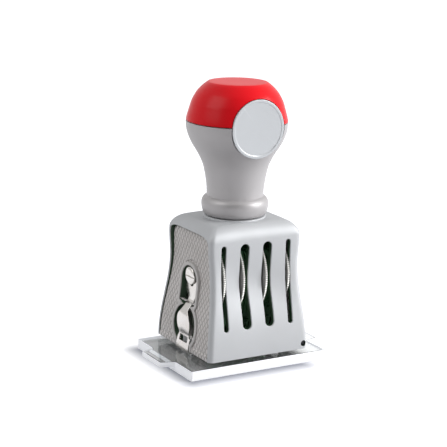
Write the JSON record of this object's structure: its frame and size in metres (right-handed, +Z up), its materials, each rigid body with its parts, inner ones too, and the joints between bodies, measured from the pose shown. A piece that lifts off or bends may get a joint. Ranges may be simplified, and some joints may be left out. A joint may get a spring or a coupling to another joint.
{
  "type": "date stamp",
  "caption": "Hand date stamp: palm knob on a waisted housing with thumb wheels that carry date bands, over a clear die plate held by spring clips.",
  "frame": {"origin": "centre of the die plate's underside, on the surface that the stamp stands on", "axes": "+Z up through the knob, -Y the front with the badge, +X the stamp's right side seen from the front"},
  "size_m": [0.069, 0.043, 0.1056],
  "materials": {
    "satin_grey": "satin silver-grey moulding",
    "textured_grey": "moulded lozenge texture",
    "red_gloss": "glossy",
    "badge": "satin silver",
    "clear": "clear polished acrylic",
    "nickel": "nickel plated spring steel",
    "wheel_steel": "knurled rim",
    "dark_steel": "blackened",
    "brass": "turned",
    "rubber": "matt dark green"
  },
  "bodies": {
    "stamp_body": {"housing_shell": "satin_grey", "side_plate_left": "textured_grey", "side_plate_right": "textured_grey", "retaining_pin": "dark_steel", "handle_knob": "satin_grey", "knob_cap": "red_gloss", "label_disc": "badge", "handle_insert": "brass", "handle_bolt": "dark_steel", "lock_washer": "nickel", "band_frame": "nickel", "band_bridge": "nickel", "bridge_screw_left": "nickel", "bridge_screw_right": "nickel", "wheel_axle": "dark_steel", "axle_screw_left": "nickel", "axle_screw_right": "nickel", "date_band_month": "rubber", "date_band_day_tens": "rubber", "date_band_day_units": "rubber", "date_band_year": "rubber"},
    "wheel_month": {"thumb_wheel_month": "wheel_steel"},
    "wheel_day_tens": {"thumb_wheel_day_tens": "wheel_steel"},
    "wheel_day_units": {"thumb_wheel_day_units": "wheel_steel"},
    "wheel_year": {"thumb_wheel_year": "wheel_steel"},
    "plate": {"die_plate": "clear", "clip_rivet_left_front": "nickel", "clip_rivet_left_rear": "nickel", "clip_rivet_right_front": "nickel", "clip_rivet_right_rear": "nickel"},
    "clip_left": {"plate_clip_left": "nickel"},
    "clip_right": {"plate_clip_right": "nickel"}
  },
  "joints": [
    {"name": "month_wheel_turn", "type": "hinge", "parent": "stamp_body", "child": "wheel_month", "pos_m": [-0.01385, 0, 0.0335], "axis": [1, 0, 0], "continuous": true},
    {"name": "day_tens_wheel_turn", "type": "hinge", "parent": "stamp_body", "child": "wheel_day_tens", "pos_m": [-0.00555, 0, 0.0335], "axis": [1, 0, 0], "continuous": true},
    {"name": "day_units_wheel_turn", "type": "hinge", "parent": "stamp_body", "child": "wheel_day_units", "pos_m": [0.00415, 0, 0.0335], "axis": [1, 0, 0], "continuous": true},
    {"name": "year_wheel_turn", "type": "hinge", "parent": "stamp_body", "child": "wheel_year", "pos_m": [0.01385, 0, 0.0335], "axis": [1, 0, 0], "continuous": true},
    {"name": "plate_pull_off", "type": "slide", "parent": "stamp_body", "child": "plate", "axis": [0, 0, -1], "range_m": [0, 0.034]},
    {"name": "left_clip_press", "type": "hinge", "parent": "plate", "child": "clip_left", "pos_m": [-0.0217, 0, 0.0043], "axis": [0, 1, 0], "range_deg": [0, 2.5], "stiffness_Nm_per_rad": 0.3},
    {"name": "right_clip_press", "type": "hinge", "parent": "plate", "child": "clip_right", "pos_m": [0.0217, 0, 0.0043], "axis": [0, -1, 0], "range_deg": [0, 2.5], "stiffness_Nm_per_rad": 0.3}
  ]
}
